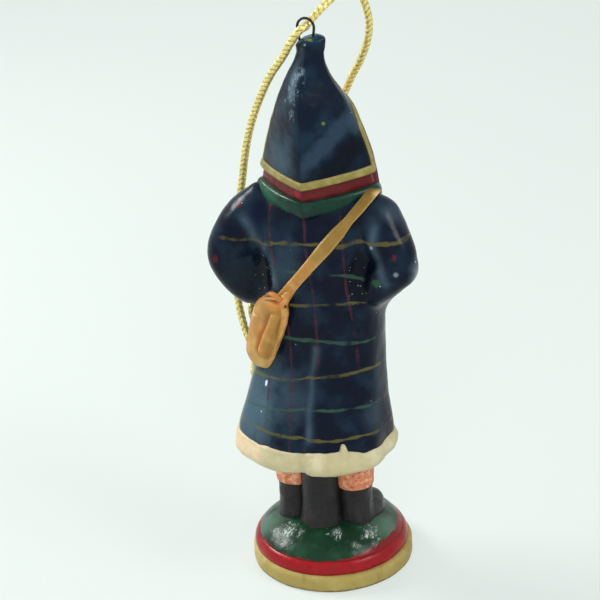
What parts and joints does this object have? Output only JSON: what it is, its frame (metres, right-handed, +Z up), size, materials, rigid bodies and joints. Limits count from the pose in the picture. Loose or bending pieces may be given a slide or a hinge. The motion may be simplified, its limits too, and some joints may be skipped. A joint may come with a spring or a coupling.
{
  "type": "santa ornament",
  "caption": "Painted folk santa figure in a long hooded plaid coat with fur hem and shoulder satchel, on a round stepped base, hung by a gold cord loop through a wire eye.",
  "frame": {"origin": "centre of the underside of the round base", "axes": "+Z up, the figure faces -Y, its left hand is at +X"},
  "size_m": [0.0426, 0.0364, 0.1163],
  "materials": {
    "gold_paint": "matt gold-ochre paint",
    "red_paint": "glossy red paint",
    "green_paint": "glossy dark green paint",
    "navy_paint": "glossy navy paint with thin plaid lines",
    "charcoal_paint": "satin charcoal paint",
    "copper_paint": "satin copper-brown paint",
    "fur_paint": "satin cream paint over a lumpy fur texture",
    "tan_paint": "satin ochre-tan paint",
    "skin_paint": "satin skin-coloured paint",
    "wire": "dark oxidised wire",
    "cord": "metallic gold braid"
  },
  "bodies": {
    "figure": {"base_plinth": "gold_paint", "base_band": "red_paint", "base_mound": "green_paint", "support_post": "charcoal_paint", "fur_hem": "fur_paint", "coat": "navy_paint", "front_fur_trim": "fur_paint", "collar": "green_paint", "hood_lining": "red_paint", "hood": "navy_paint", "hood_piping": "gold_paint", "head": "skin_paint", "beard": "fur_paint", "satchel": "tan_paint", "satchel_lip": "tan_paint", "strap_back": "tan_paint", "strap_front": "tan_paint", "wire_eye": "wire", "left_boot": "charcoal_paint", "right_boot": "charcoal_paint", "left_trouser_leg": "copper_paint", "right_trouser_leg": "copper_paint", "left_sleeve": "navy_paint", "right_sleeve": "navy_paint", "left_cuff": "fur_paint", "right_cuff": "fur_paint", "left_mitten": "charcoal_paint", "right_mitten": "charcoal_paint", "left_moustache": "fur_paint", "right_moustache": "fur_paint", "left_brow": "fur_paint", "right_brow": "fur_paint"},
    "cord_loop": {"cord_left_strand": "cord", "cord_right_strand": "cord", "cord_knot": "cord"}
  },
  "joints": [
    {"name": "loop_swing", "type": "hinge", "parent": "figure", "child": "cord_loop", "pos_m": [0.0007, 0, 0.1102], "axis": [0, -1, 0], "range_deg": [0, 60]}
  ]
}
